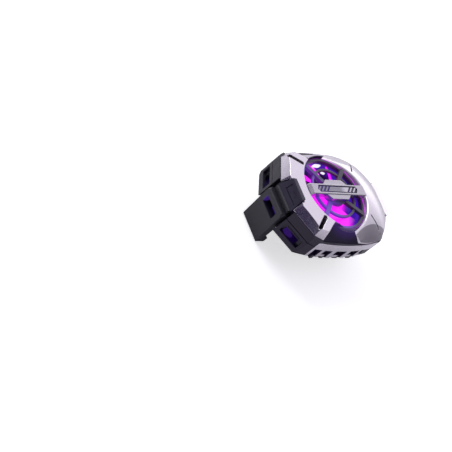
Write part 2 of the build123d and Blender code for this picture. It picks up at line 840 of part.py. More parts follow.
left_side_gap = 1.7
left_face_reach = 2.5
left_face_rake = 2.7
left_edge_bevel = 1.0
neck_front_gap = 0.3
neck_rear_gap = 0.55
neck_side_gap = 0.7
left_half = left_bay_half - left_side_gap
left_face_high = plan_left_x + left_face_reach
left_face_low = left_face_high - left_face_rake
left_face_top = frame_bottom - arm_gap
left_rear = left_bay_x + arm_gap
left_rear_low = left_bay_x - arm_gap
left_hook_x = left_rear_low - hook_reach
neck_front = plan_left_x - neck_front_gap
neck_rear = left_bay_x + neck_rear_gap
neck_half = knuckle_half_low - neck_side_gap

ridge_drop = 1.1
ridge_radius = 0.85
ridge_inset = 0.05
arm_window_half = 5.5
arm_window_drop = 5.65
arm_window_height = 5.0
arm_window_round = 0.7
ridge_middle = knuckle_bottom - ridge_drop
ridge_x = neck_front - ridge_inset
arm_window_middle = left_face_top - arm_window_drop

right_side_gap = 0.6
right_face_rake = 2.3
right_half = right_bay_half - right_side_gap
right_face_low = cap_outer_x - right_face_rake
right_rear = right_bay_x + arm_gap
right_rear_low = right_bay_x
right_hook_x = right_rear_low - hook_reach


def clip_profile(side, face_high, face_low, top, rear, rear_low, hook_x):
    """Side view of a clip arm; side is -1 for the left arm and 1 for the right."""
    with BuildSketch(mode=Mode.PRIVATE) as view:
        with BuildLine():
            Polyline(
                (side * rear, top),
                (side * (face_high - tip_bevel), top),
                (side * face_high, top - tip_bevel),
                (side * face_low, tip_bottom + tip_bevel),
                (side * (face_low - tip_bevel), tip_bottom),
                (side * (hook_x + tip_bevel), tip_bottom),
                (side * hook_x, tip_bottom + tip_bevel),
                (side * hook_x, hook_top - tip_bevel),
                (side * (hook_x + tip_bevel), hook_top),
                (side * rear_low, hook_top),
                (side * rear_low, step_height),
                (side * rear, step_height + step_rise),
                close=True,
            )
        make_face()
    return view.sketch


def fork_plan(side, root_x):
    """Plan of a fork: two legs from the arm and a crossbar between their ends."""
    with BuildSketch(mode=Mode.PRIVATE) as fork:
        for leg_side in (1, -1):
            middle = (side * (crossbar_inner + root_x) / 2, leg_side * (leg_inner + leg_outer) / 2)
            with Locations(middle):
                Rectangle(root_x - crossbar_inner, leg_outer - leg_inner)
        with Locations((side * (crossbar_inner + crossbar_width / 2), 0)):
            Rectangle(crossbar_width, 2 * leg_outer)
    return fork.sketch


with BuildPart() as left_arm:
    with BuildSketch(Plane.XZ):
        add(
            clip_profile(
                -1,
                left_face_high,
                left_face_low,
                left_face_top,
                left_rear,
                left_rear_low,
                left_hook_x,
            )
        )
    extrude(amount=left_half, both=True)
    face_edges = left_arm.faces().filter_by(Axis.Y, reverse=True).sort_by(Axis.X)[0].edges()
    chamfer(face_edges.filter_by(Axis.Y, reverse=True), length=left_edge_bevel)
    with BuildSketch(Plane.XY.offset(left_face_top)):
        with Locations((-(neck_front + neck_rear) / 2, 0)):
            Rectangle(neck_front - neck_rear, 2 * neck_half)
    extrude(amount=knuckle_bottom - left_face_top)
    with BuildSketch(Plane.XZ):
        with Locations((-ridge_x, ridge_middle)):
            Circle(ridge_radius)
    extrude(amount=neck_half, both=True)
    with BuildSketch(Plane.YZ.offset(-plan_right_x)):
        with Locations((0, arm_window_middle)):
            RectangleRounded(2 * arm_window_half, arm_window_height, arm_window_round)
    extrude(amount=plan_right_x - left_bay_x + overrun, mode=Mode.SUBTRACT)
    with BuildSketch(Plane.XY.offset(leg_bottom)):
        add(fork_plan(-1, left_rear + overrun))
    extrude(amount=leg_height)
left_arm.part.label = "left_arm"
export_step(left_arm.part, "parts/left_arm.step")

with BuildPart() as right_claw:
    with BuildSketch(Plane.XZ):
        add(
            clip_profile(
                1,
                cap_outer_x,
                right_face_low,
                claw_top,
                right_rear,
                right_rear_low,
                right_hook_x,
            )
        )
    extrude(amount=right_half, both=True)
    face_edges = right_claw.faces().filter_by(Axis.Y, reverse=True).sort_by(Axis.X)[-1].edges()
    chamfer(face_edges.filter_by(Axis.Y, reverse=True), length=left_edge_bevel)
    with BuildSketch(Plane.XY.offset(leg_bottom)):
        add(fork_plan(1, right_rear + overrun))
    extrude(amount=leg_height)
right_claw.part.label = "right_claw"
export_step(right_claw.part, "parts/right_claw.step")

# Rubber pads on the phone side of both arms
grip_thickness = 1.1
grip_drop = 0.3
grip_top = -grip_drop
grip_side_gap = 0.6
grip_half = right_half - grip_side_gap

for side, rear_x, grip_name in (
    (-1, left_rear_low, "left_arm_pad"),
    (1, right_rear_low, "right_claw_pad"),
):
    with BuildPart() as grip:
        with BuildSketch(Plane.XY.offset(hook_top)):
            with Locations((side * (rear_x - grip_thickness / 2), 0)):
                Rectangle(grip_thickness, 2 * grip_half)
        extrude(amount=grip_top - hook_top)
    grip.part.label = grip_name
    export_step(grip.part, f"parts/{grip_name}.step")

# Knuckle of the left arm and the panel let into its slanted face
inset_left_y = -6.3
inset_right_y = 4.1
inset_height = 4.2
inset_middle_share = 0.55
inset_depth = 0.8
inset_thickness = 0.4
inset_gap = 0.15
ledge_length = 3.4
ledge_width = 0.5
ledge_rise = 0.3
ledge_offset = 0.5
knuckle_bevel = 0.8

knuckle_run = knuckle_front_low - knuckle_front_high
knuckle_height = knuckle_top - knuckle_bottom
knuckle_face = Plane(
    origin=(
        -knuckle_front_low + knuckle_run * inset_middle_share,
        (inset_left_y + inset_right_y) / 2,
        knuckle_bottom + knuckle_height * inset_middle_share,
    ),
    x_dir=(0, -1, 0),
    z_dir=(-knuckle_height, 0, knuckle_run),
)
inset_width = inset_right_y - inset_left_y

with BuildPart() as left_knuckle:
    add(knuckle_block(0, 0, 0))
    top_edges = left_knuckle.faces().sort_by(Axis.Z)[-1].edges()
    chamfer(top_edges.filter_by(Axis.Y).sort_by(Axis.X)[0], length=knuckle_bevel / 2)
    with BuildSketch(knuckle_face):
        Rectangle(inset_width, inset_height)
    extrude(amount=-inset_depth, mode=Mode.SUBTRACT)
left_knuckle.part.label = "left_knuckle"
export_step(left_knuckle.part, "parts/left_knuckle.step")

with BuildPart() as knuckle_insert:
    with BuildSketch(knuckle_face.offset(-inset_depth)):
        Rectangle(inset_width - 2 * inset_gap, inset_height - 2 * inset_gap)
    extrude(amount=inset_thickness)
    with BuildSketch(knuckle_face.offset(inset_thickness - inset_depth)):
        with Locations((0, ledge_offset)):
            Rectangle(ledge_length, ledge_width)
    extrude(amount=ledge_rise)
knuckle_insert.part.label = "knuckle_insert"
export_step(knuckle_insert.part, "parts/knuckle_insert.step")

# Springs that pull the arms in; each pushes its crossbar away from the bay wall
spring_outer = 1.15
spring_inner = 0.85
spring_y = 3.4
spring_z = leg_bottom + leg_height / 2
crossbar_outer = crossbar_inner + crossbar_width

for start_x, end_x, spring_name in (
    (-left_bay_x + wall, -crossbar_outer, "left_springs"),
    (crossbar_outer, right_bay_x - wall, "right_springs"),
):
    with BuildPart() as springs:
        with BuildSketch(Plane.YZ.offset(start_x)):
            with Locations((spring_y, spring_z), (-spring_y, spring_z)):
                Circle(spring_outer)
                Circle(spring_inner, mode=Mode.SUBTRACT)
        extrude(amount=end_x - start_x)
    springs.part.label = spring_name
    export_step(springs.part, f"parts/{spring_name}.step")

# Cooling stack, from the phone outwards
plate_margin = 1.0
plate_size = pad_size + 2 * plate_margin
with BuildPart() as contact_pad:
    with BuildSketch():
        RectangleRounded(pad_size, pad_size, pad_round)
    extrude(amount=pad_thickness)
contact_pad.part.label = "contact_pad"
export_step(contact_pad.part, "parts/contact_pad.step")

with BuildPart() as cold_plate:
    with BuildSketch(Plane.XY.offset(pad_thickness)):
        RectangleRounded(plate_size, plate_size, pad_round)
    extrude(amount=back_height - pad_thickness)
    with BuildSketch(Plane.XY.offset(back_height)):
        Rectangle(boss_size, boss_size)
    extrude(amount=boss_height - back_height)
cold_plate.part.label = "cold_plate"
export_step(cold_plate.part, "parts/cold_plate.step")

tile_thickness = 0.7
pellet_margin = 0.8
pellet_size = boss_size - 2 * pellet_margin
with BuildPart() as peltier_module:
    with BuildSketch(Plane.XY.offset(boss_height), Plane.XY.offset(heatsink_bottom - tile_thickness)):
        Rectangle(boss_size, boss_size)
    extrude(amount=tile_thickness)
    with BuildSketch(Plane.XY.offset(boss_height)):
        Rectangle(pellet_size, pellet_size)
    extrude(amount=heatsink_bottom - boss_height)
peltier_module.part.label = "peltier_module"
export_step(peltier_module.part, "parts/peltier_module.step")

with BuildPart() as insulation_gasket:
    with BuildSketch(Plane.XY.offset(back_height + floor)):
        Rectangle(gasket_outer, gasket_outer)
        Rectangle(gasket_inner, gasket_inner, mode=Mode.SUBTRACT)
    extrude(amount=heatsink_bottom - back_height - floor)
insulation_gasket.part.label = "insulation_gasket"
export_step(insulation_gasket.part, "parts/insulation_gasket.step")

sink_shares = (0.6101, 0.8)
sink_half_x = sink_shares[0] * plan_left_x
sink_half_y = sink_shares[1] * plan_end_y
sink_base = 1.5
base_thickness = 1.2
fin_gap = 0.3
fin_top = duct_bottom - base_thickness - fin_gap
fin_count = 15
fin_thickness = 0.7
fin_pitch = 2 * (sink_half_x - fin_thickness / 2) / (fin_count - 1)
with BuildPart() as heatsink:
    with BuildSketch(Plane.XY.offset(heatsink_bottom)):
        Rectangle(2 * sink_half_x, 2 * sink_half_y)
    extrude(amount=sink_base)
    with BuildSketch(Plane.XY.offset(heatsink_bottom + sink_base)):
        with GridLocations(fin_pitch, 1, fin_count, 1):
            Rectangle(fin_thickness, 2 * sink_half_y)
    extrude(amount=fin_top - heatsink_bottom - sink_base)
heatsink.part.label = "heatsink"
export_step(heatsink.part, "parts/heatsink.step")

# Fan base on three struts, screwed to the ears of the frame from below

base_bottom = duct_bottom - base_thickness
base_radius = 8.4
strut_width = 2.4
sleeve_outer = 2.6
shaft_radius = 1.0
shaft_gap = 0.05
sleeve_rise = 0.5
sleeve_length = 4.9
sleeve_bottom = duct_bottom + sleeve_rise
sleeve_top = sleeve_bottom + sleeve_length
sleeve_inner = shaft_radius + shaft_gap
holder_outer = 3.4
stator_rise = 1.7
stator_bottom = duct_bottom + stator_rise
clip_room_radius = 2.2
clip_room_depth = 1.3
clip_room_bottom = sleeve_bottom - clip_room_depth
fan_head_radius = 1.1
fan_head_height = 0.7

with BuildPart() as fan_base:
    with BuildSketch(Plane.XY.offset(base_bottom)):
        Circle(base_radius)
        with PolarLocations(ear_ring_radius / 2, ear_count, ear_start):
            Rectangle(ear_ring_radius, strut_width)
        with PolarLocations(ear_ring_radius, ear_count, ear_start):
            Circle(ear_radius)
    extrude(amount=base_thickness)
    with BuildSketch(Plane.XY.offset(duct_bottom)):
        Circle(holder_outer)
    extrude(amount=stator_bottom - duct_bottom)
    with BuildSketch(Plane.XY.offset(sleeve_bottom)):
        Circle(sleeve_outer)
    extrude(amount=stator_bottom - sleeve_bottom, mode=Mode.SUBTRACT)
    with BuildSketch(Plane.XY.offset(clip_room_bottom)):
        Circle(clip_room_radius)
    extrude(amount=sleeve_bottom - clip_room_bottom, mode=Mode.SUBTRACT)
    with BuildSketch(Plane.XY.offset(base_bottom)):
        with PolarLocations(ear_ring_radius, ear_count, ear_start):
            Circle(fan_head_radius + pilot_gap)
    extrude(amount=fan_head_height, mode=Mode.SUBTRACT)
    with BuildSketch(Plane.XY.offset(base_bottom)):
        with PolarLocations(ear_ring_radius, ear_count, ear_start):
            Circle(fan_screw_radius + pilot_gap)
    extrude(amount=base_thickness, mode=Mode.SUBTRACT)
fan_base.part.label = "fan_base"
export_step(fan_base.part, "parts/fan_base.step")

fan_screw_grip = 1.8
fan_screw_tip = duct_bottom + fan_screw_grip
with BuildPart() as fan_screws:
    with BuildSketch(Plane.XY.offset(base_bottom)):
        with PolarLocations(ear_ring_radius, ear_count, ear_start):
            Circle(fan_head_radius)
    extrude(amount=fan_head_height)
    with BuildSketch(Plane.XY.offset(base_bottom)):
        with PolarLocations(ear_ring_radius, ear_count, ear_start):
            Circle(fan_screw_radius)
    extrude(amount=fan_screw_tip - base_bottom)
fan_screws.part.label = "fan_screws"
export_step(fan_screws.part, "parts/fan_screws.step")

motor_board_inner = 3.5
motor_board_outer = 8.0
motor_board_thickness = 0.8
with BuildPart() as motor_board:
    with BuildSketch(Plane.XY.offset(duct_bottom)):
        Circle(motor_board_outer)
        Circle(motor_board_inner, mode=Mode.SUBTRACT)
    extrude(amount=motor_board_thickness)
motor_board.part.label = "motor_board"
export_step(motor_board.part, "parts/motor_board.step")

with BuildPart() as bearing_sleeve:
    with BuildSketch(Plane.XY.offset(sleeve_bottom)):
        Circle(sleeve_outer)
        Circle(sleeve_inner, mode=Mode.SUBTRACT)
    extrude(amount=sleeve_top - sleeve_bottom)
bearing_sleeve.part.label = "bearing_sleeve"
export_step(bearing_sleeve.part, "parts/bearing_sleeve.step")

# Stator: a core of four poles with pole shoes, and a coil round each pole
stator_height = 3.0
stator_top = stator_bottom + stator_height
core_hub_wall = 1.1
shoe_inner = 5.7
shoe_thickness = 0.7
pole_count = 4
pole_width = 1.6
shoe_gap = 1.4
coil_gap = 0.2
coil_length = 1.4
coil_width = 3.2
coil_overhang = 0.45
core_hub_radius = sleeve_outer + core_hub_wall
shoe_outer = shoe_inner + shoe_thickness
coil_inner = core_hub_radius + coil_gap
coil_outer = coil_inner + coil_length
with BuildPart() as stator_core:
    with BuildSketch(Plane.XY.offset(stator_bottom)):
        Circle(shoe_outer)
        Circle(shoe_inner, mode=Mode.SUBTRACT)
        with PolarLocations(shoe_outer, pole_count, 180 / pole_count):
            Rectangle(shoe_outer, shoe_gap, mode=Mode.SUBTRACT)
        Circle(core_hub_radius)
        with PolarLocations((core_hub_radius + shoe_inner) / 2, pole_count):
            Rectangle(core_hub_radius, pole_width)
        Circle(sleeve_outer, mode=Mode.SUBTRACT)
    extrude(amount=stator_top - stator_bottom)
stator_core.part.label = "stator_core"
export_step(stator_core.part, "parts/stator_core.step")

with BuildPart() as stator_coils:
    with BuildSketch(Plane.XY.offset(stator_bottom - coil_overhang)):
        with PolarLocations((coil_inner + coil_outer) / 2, pole_count):
            Rectangle(coil_outer - coil_inner, coil_width)
    extrude(amount=stator_top - stator_bottom + 2 * coil_overhang)
    with BuildSketch(Plane.XY.offset(stator_bottom)):
        with PolarLocations((coil_inner + coil_outer) / 2, pole_count):
            Rectangle(coil_outer, pole_width)
    extrude(amount=stator_top - stator_bottom, mode=Mode.SUBTRACT)
stator_coils.part.label = "stator_coils"
export_step(stator_coils.part, "parts/stator_coils.step")

# Fan wheel, with the magnet ring and the shaft that turn with it
hub_rise = 1.5
hub_height = 5.8
hub_wall = 0.75
hub_roof = 1.0
magnet_gap = 0.6
magnet_thickness = 0.85
magnet_rise = 0.3
shaft_tail = 1.0
shaft_cover = 0.4
shaft_boss_wall = 1.0
shaft_boss_height = 0.6
hub_bottom = duct_bottom + hub_rise
hub_top = hub_bottom + hub_height
magnet_inner = shoe_outer + magnet_gap
magnet_outer = magnet_inner + magnet_thickness
magnet_bottom = hub_bottom + magnet_rise
hub_radius = magnet_outer + hub_wall
shaft_bottom = sleeve_bottom - shaft_tail
shaft_top = hub_top - shaft_cover
shaft_boss_radius = shaft_radius + shaft_boss_wall
shaft_boss_bottom = hub_top - hub_roof - shaft_boss_height
blade_count = 9
blade_gap = 0.5
blade_tip_radius = duct_inner_radius - blade_gap
blade_thickness = 0.9
blade_rise = 3.0
blade_middle = hub_bottom + blade_rise
blade_radius_shares = [0.365, 0.688, 1.037]
blade_chord_shares = [0.300, 0.460, 0.600]
blade_leads = [0, 7, 17]
blade_pitches = [40, 31, 24]

with BuildPart() as impeller:
    for blade in range(blade_count):
        for radius_share, chord_share, lead, pitch in zip(
            blade_radius_shares, blade_chord_shares, blade_leads, blade_pitches
        ):
            radius = radius_share * blade_tip_radius
            angle = radians(blade * 360 / blade_count + lead)
            section = Plane(
                origin=(radius * cos(angle), radius * sin(angle), blade_middle),
                x_dir=(-sin(angle), cos(angle), 0),
                z_dir=(cos(angle), sin(angle), 0),
            )
            with BuildSketch(section):
                Rectangle(chord_share * blade_tip_radius, blade_thickness, rotation=pitch)
        loft()
    with BuildSketch(Plane.XY.offset(hub_bottom)):
        Circle(blade_tip_radius)
    extrude(amount=hub_top - hub_bottom + overrun, mode=Mode.INTERSECT)
    with BuildSketch(Plane.XY.offset(hub_bottom)):
        Circle(hub_radius)
    extrude(amount=hub_top - hub_bottom)
    with BuildSketch(Plane.XY.offset(hub_bottom)):
        Circle(magnet_outer)
    extrude(amount=hub_top - hub_roof - hub_bottom, mode=Mode.SUBTRACT)
    with BuildSketch(Plane.XY.offset(shaft_boss_bottom)):
        Circle(shaft_boss_radius)
    extrude(amount=hub_top - hub_roof - shaft_boss_bottom)
    with BuildSketch(Plane.XY.offset(shaft_boss_bottom)):
        Circle(shaft_radius)
    extrude(amount=shaft_top - shaft_boss_bottom, mode=Mode.SUBTRACT)
impeller.part.label = "impeller"
export_step(impeller.part, "parts/impeller.step")

with BuildPart() as rotor_magnet:
    with BuildSketch(Plane.XY.offset(magnet_bottom)):
        Circle(magnet_outer)
        Circle(magnet_inner, mode=Mode.SUBTRACT)
    extrude(amount=hub_top - hub_roof - magnet_bottom)
rotor_magnet.part.label = "rotor_magnet"
export_step(rotor_magnet.part, "parts/rotor_magnet.step")

with BuildPart() as rotor_shaft:
    with BuildSketch(Plane.XY.offset(shaft_bottom)):
        Circle(shaft_radius)
    extrude(amount=shaft_top - shaft_bottom)
rotor_shaft.part.label = "rotor_shaft"
export_step(rotor_shaft.part, "parts/rotor_shaft.step")

clip_rise = 0.25
clip_bottom = shaft_bottom + clip_rise
clip_thickness = 0.4
clip_wall = 0.8
clip_radius = shaft_radius + clip_wall
with BuildPart() as shaft_clip:
    with BuildSketch(Plane.XY.offset(clip_bottom)):
        Circle(clip_radius)
        Circle(shaft_radius, mode=Mode.SUBTRACT)
    extrude(amount=clip_thickness)
shaft_clip.part.label = "shaft_clip"
export_step(shaft_clip.part, "parts/shaft_clip.step")

# Light board, its lamps and the thin light ring above them
light_board_inner = duct_outer_radius + seat_gap
light_board_margin = 0.8
light_board_outer = light_room_radius - light_board_margin
light_board_thickness = 0.8
led_count = 8
led_start = 22.5

led_depth = 1.2
led_width = 2.0
led_height = 0.6
light_ring_drop = 2.8
light_ring_top = face_height - light_ring_drop
light_board_top = deck_height + light_board_thickness

with BuildPart() as led_board:
    with BuildSketch(Plane.XY.offset(deck_height)):
        Circle(light_board_outer)
        Circle(light_board_inner, mode=Mode.SUBTRACT)
    extrude(amount=light_board_thickness)
led_board.part.label = "led_board"
export_step(led_board.part, "parts/led_board.step")

with BuildPart() as leds:
    with BuildSketch(Plane.XY.offset(light_board_top)):
        with PolarLocations(light_outer_radius, led_count, led_start):
            Rectangle(led_depth, led_width)
    extrude(amount=led_height)
leds.part.label = "leds"
export_step(leds.part, "parts/leds.step")

with BuildPart() as light_ring:
    with BuildSketch(Plane.XY.offset(light_board_top + led_height)):
        Circle(light_outer_radius)
        Circle(light_inner_radius, mode=Mode.SUBTRACT)
    extrude(amount=light_ring_top - light_board_top - led_height)
light_ring.part.label = "light_ring"
export_step(light_ring.part, "parts/light_ring.step")

# Grille: ring, inner ring, hub and four spokes
grille_ring_width = 1.2
grille_ring_height = 1.7
grille_mid_inner = 13.4
grille_mid_width = 1.2
grille_mid_height = 1.3
grille_mid_drop = 0.5
grille_hub_radius = 7.4
grille_hub_height = 2.1
grille_drop = 1.5
grille_outer = duct_outer_radius + seat_gap
grille_inner = grille_outer - grille_ring_width
grille_mid_outer = grille_mid_inner + grille_mid_width
grille_ring_top = duct_top + grille_ring_height
grille_top = face_height - grille_drop
grille_mid_top = grille_top - grille_mid_drop
grille_mid_bottom = grille_mid_top - grille_mid_height
grille_hub_bottom = grille_top - grille_hub_height
spoke_angles = [45, 129, -135, -39]
spoke_width = 2.3
spoke_root = 1.4
spoke_height = 1.9
spoke_inner_end = grille_hub_radius - spoke_root
spoke_outer_end = grille_inner + grille_ring_width / 2
spoke_bottom = grille_top - spoke_height
bar_screw_x = 4.5
bar_screw_radius = 0.6
bar_head_radius = 1.0
bar_head_height = 0.7

with BuildPart() as grille:
    with BuildSketch(Plane.XY.offset(duct_top)):
        Circle(grille_outer)
        Circle(grille_inner, mode=Mode.SUBTRACT)
    extrude(amount=grille_ring_top - duct_top)
    with BuildSketch(Plane.XY.offset(grille_mid_bottom)):
        Circle(grille_mid_outer)
        Circle(grille_mid_inner, mode=Mode.SUBTRACT)
    extrude(amount=grille_mid_top - grille_mid_bottom)
    with BuildSketch(Plane.XY.offset(grille_hub_bottom)):
        Circle(grille_hub_radius)
    extrude(amount=grille_top - grille_hub_bottom)
    with BuildSketch(Plane.XY.offset(spoke_bottom)):
        for spoke_angle in spoke_angles:
            with PolarLocations((spoke_inner_end + spoke_outer_end) / 2, 1, spoke_angle):
                Rectangle(spoke_outer_end - spoke_inner_end, spoke_width)
    extrude(amount=grille_top - spoke_bottom)
    with BuildSketch(Plane.XY.offset(grille_hub_bottom)):
        with Locations((bar_screw_x, 0), (-bar_screw_x, 0)):
            Circle(bar_head_radius + pilot_gap)
    extrude(amount=bar_head_height, mode=Mode.SUBTRACT)
    with BuildSketch(Plane.XY.offset(grille_hub_bottom)):
        with Locations((bar_screw_x, 0), (-bar_screw_x, 0)):
            Circle(bar_screw_radius + pilot_gap)
    extrude(amount=grille_top - grille_hub_bottom, mode=Mode.SUBTRACT)
grille.part.label = "grille"
export_step(grille.part, "parts/grille.step")

# Silver bar across the grille: a plate under its middle and a dark striped window
bar_left_gap = 0.8
bar_right_gap = 1.4
bar_half = 3.1
bar_height = 3.0
bar_end_bevel = 1.6
bar_edge_bevel = 0.3
plate_middle_x = -0.7
plate_flat_x = 6.1
plate_flat_y = 5.7
plate_tip_x = 8.9
plate_drop = 0.4
bar_left = opening_radius - bar_left_gap
bar_right = opening_radius - bar_right_gap
bar_top = grille_top + bar_height
window_shares = [
    (-0.694, 0.661),
    (-0.761, -0.177),
    (-0.684, -0.661),
    (0.651, -0.661),
    (0.722, 0.145),
    (0.665, 0.661),
]
window_corners = [(x * bar_left, y * bar_half) for x, y in window_shares]
bar_window_depth = 0.8
bar_screw_grip = 1.6
bar_screw_tip = grille_top + bar_screw_grip

with BuildPart() as badge_bar:
    with BuildSketch(Plane.XY.offset(grille_top)):
        with Locations(((bar_right - bar_left) / 2, 0)):
            Rectangle(bar_left + bar_right, 2 * bar_half)
    extrude(amount=bar_top - grille_top)
    top_edges = badge_bar.faces().sort_by(Axis.Z)[-1].edges()
    end_edge = top_edges.filter_by(Axis.Y).sort_by(Axis.X)[0]
    chamfer(end_edge, length=bar_end_bevel)
    top_edges = badge_bar.faces().sort_by(Axis.Z)[-1].edges()
    chamfer(top_edges.filter_by(Axis.X), length=bar_edge_bevel)
    with BuildSketch(Plane.XY.offset(grille_top)):
        with BuildLine():
            Polyline(
                (plate_middle_x - plate_tip_x, bar_half),
                (plate_middle_x - plate_flat_x, plate_flat_y),
                (plate_middle_x + plate_flat_x, plate_flat_y),
                (plate_middle_x + plate_tip_x, bar_half),
                (plate_middle_x + plate_tip_x, -bar_half),
                (plate_middle_x + plate_flat_x, -plate_flat_y),
                (plate_middle_x - plate_flat_x, -plate_flat_y),
                (plate_middle_x - plate_tip_x, -bar_half),
                close=True,
            )
        make_face()
    extrude(amount=bar_top - plate_drop - grille_top)
    with BuildSketch(Plane.XY.offset(bar_top - bar_window_depth)):
        with BuildLine():
            Polyline(*window_corners, close=True)
        make_face()
    extrude(amount=bar_window_depth, mode=Mode.SUBTRACT)
    with BuildSketch(Plane.XY.offset(grille_top)):
        with Locations((bar_screw_x, 0), (-bar_screw_x, 0)):
            Circle(bar_screw_radius + pilot_gap)
    extrude(amount=bar_screw_tip - grille_top, mode=Mode.SUBTRACT)
badge_bar.part.label = "badge_bar"
export_step(badge_bar.part, "parts/badge_bar.step")

insert_gap = 0.08
insert_thickness = 0.35
with BuildPart() as badge_insert:
    with BuildSketch(Plane.XY.offset(bar_top - bar_window_depth)):
        with BuildLine():
            Polyline(*window_corners, close=True)
        make_face()
        offset(amount=-insert_gap, kind=Kind.INTERSECTION)
    extrude(amount=insert_thickness)
badge_insert.part.label = "badge_insert"
export_step(badge_insert.part, "parts/badge_insert.step")

# Slanted silver stripes on the dark window, and the bare plate between them
stripe_shares = [-0.679, -0.550, -0.421, 0.459, 0.593]
stripe_width = 1.15
stripe_half = 1.4
stripe_thickness = 0.3
bare_left = 6.9
bare_right = 7.6
stripe_bottom = bar_top - bar_window_depth + insert_thickness
slanted_spans = [(-bare_left, bare_right)]
for stripe_share in stripe_shares:
    stripe_x = stripe_share * bar_left
    slanted_spans.append((stripe_x - stripe_width / 2, stripe_x + stripe_width / 2))
with BuildPart() as badge_stripes:
    with BuildSketch(Plane.XY.offset(stripe_bottom)):
        for left, right in slanted_spans:
            with BuildLine():
                Polyline(
                    (left - stripe_half, -stripe_half),
                    (left + stripe_half, stripe_half),
                    (right + stripe_half, stripe_half),
                    (right - stripe_half, -stripe_half),
                    close=True,
                )
            make_face()
        with BuildLine():
            Polyline(*window_corners, close=True)
        make_face(mode=Mode.INTERSECT)
    extrude(amount=stripe_thickness)
badge_stripes.part.label = "badge_stripes"
export_step(badge_stripes.part, "parts/badge_stripes.step")

with BuildPart() as badge_screws:
    with BuildSketch(Plane.XY.offset(grille_hub_bottom)):
        with Locations((bar_screw_x, 0), (-bar_screw_x, 0)):
            Circle(bar_head_radius)
    extrude(amount=bar_head_height)
    with BuildSketch(Plane.XY.offset(grille_hub_bottom)):
        with Locations((bar_screw_x, 0), (-bar_screw_x, 0)):
            Circle(bar_screw_radius)
    extrude(amount=bar_screw_tip - grille_hub_bottom)
badge_screws.part.label = "badge_screws"
export_step(badge_screws.part, "parts/badge_screws.step")

# Power board, its chips and the socket in the lower right wall
board_gap = 0.4
board_reach = 2 * plan_right_x
chip_size = 5.0
chip_place_shares = [
    (0.655, 0.056),
    (0.583, -0.241),
    (0.777, 0.222),
    (0.595, 0.315),
    (0.813, -0.074),
]
chip_size_shares = [
    (1, 1, 0.20),
    (0.60, 0.40, 0.14),
    (0.80, 0.80, 0.36),
    (0.64, 0.32, 0.22),
    (0.40, 0.24, 0.12),
]
with BuildPart() as control_board:
    with BuildSketch(Plane.XY.offset(board_bottom)):
        add(body_plan(wall + board_gap))
        with Locations((board_left_x - board_reach / 2, 0)):
            Rectangle(board_reach, board_reach, mode=Mode.SUBTRACT)
        with Locations(*body_screw_places):
            Circle(boss_radius + board_gap, mode=Mode.SUBTRACT)
    extrude(amount=board_thickness)
control_board.part.label = "control_board"
export_step(control_board.part, "parts/control_board.step")

with BuildPart() as board_chips:
    for (share_x, share_y), (length_share, width_share, height_share) in zip(
        chip_place_shares, chip_size_shares
    ):
        with BuildSketch(Plane.XY.offset(board_bottom + board_thickness)):
            with Locations((share_x * plan_right_x, share_y * plan_end_y)):
                Rectangle(length_share * chip_size, width_share * chip_size)
        extrude(amount=height_share * chip_size)
board_chips.part.label = "board_chips"
export_step(board_chips.part, "parts/board_chips.step")

socket_sink = 0.4
socket_back = 0.8
tongue_width = 6.2
tongue_thickness = 0.7
tongue_sink = 1.0
with BuildPart() as usb_socket:
    with BuildSketch(socket_plane.offset(-socket_sink)):
        RectangleRounded(socket_width, socket_height, socket_round)
    extrude(amount=-socket_depth)
    with BuildSketch(socket_plane.offset(-socket_sink)):
        RectangleRounded(
            socket_width - 2 * socket_wall,
            socket_height - 2 * socket_wall,
            socket_round - socket_wall,
        )
    extrude(amount=socket_back - socket_depth, mode=Mode.SUBTRACT)
    with BuildSketch(socket_plane.offset(-socket_sink - tongue_sink)):
        Rectangle(tongue_width, tongue_thickness)
    extrude(amount=tongue_sink - socket_depth)
usb_socket.part.label = "usb_socket"
export_step(usb_socket.part, "parts/usb_socket.step")
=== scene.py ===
import bpy
import numpy as np
from mathutils import Matrix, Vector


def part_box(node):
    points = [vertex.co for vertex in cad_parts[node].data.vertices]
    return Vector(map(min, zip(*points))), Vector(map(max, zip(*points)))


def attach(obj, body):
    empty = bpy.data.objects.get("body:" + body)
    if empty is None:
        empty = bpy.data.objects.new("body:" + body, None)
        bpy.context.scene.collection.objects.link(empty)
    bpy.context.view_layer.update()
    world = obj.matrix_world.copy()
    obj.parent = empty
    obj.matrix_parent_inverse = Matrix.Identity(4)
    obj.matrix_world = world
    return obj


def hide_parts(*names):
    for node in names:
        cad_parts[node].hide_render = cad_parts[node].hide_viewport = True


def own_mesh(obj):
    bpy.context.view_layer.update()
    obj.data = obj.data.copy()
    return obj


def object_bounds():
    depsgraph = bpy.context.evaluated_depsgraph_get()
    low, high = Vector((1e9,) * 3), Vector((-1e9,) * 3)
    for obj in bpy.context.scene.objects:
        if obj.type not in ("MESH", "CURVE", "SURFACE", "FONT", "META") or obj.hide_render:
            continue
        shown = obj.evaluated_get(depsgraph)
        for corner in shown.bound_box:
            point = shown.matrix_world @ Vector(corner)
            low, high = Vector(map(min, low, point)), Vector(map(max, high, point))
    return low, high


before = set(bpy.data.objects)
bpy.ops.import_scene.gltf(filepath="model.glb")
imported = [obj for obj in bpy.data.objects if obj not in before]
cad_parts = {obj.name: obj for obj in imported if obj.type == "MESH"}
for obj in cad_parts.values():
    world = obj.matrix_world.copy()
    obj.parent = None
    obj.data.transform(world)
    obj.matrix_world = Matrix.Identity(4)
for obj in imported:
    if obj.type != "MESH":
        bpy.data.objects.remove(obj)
cad_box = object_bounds()

# The back shell and the middle frame are moulded in charcoal plastic with a fine
# satin grain. Violet light washes over the wall of the fan duct inside the frame, and
# a little of it shows in the lower left window and behind the window of the left arm.


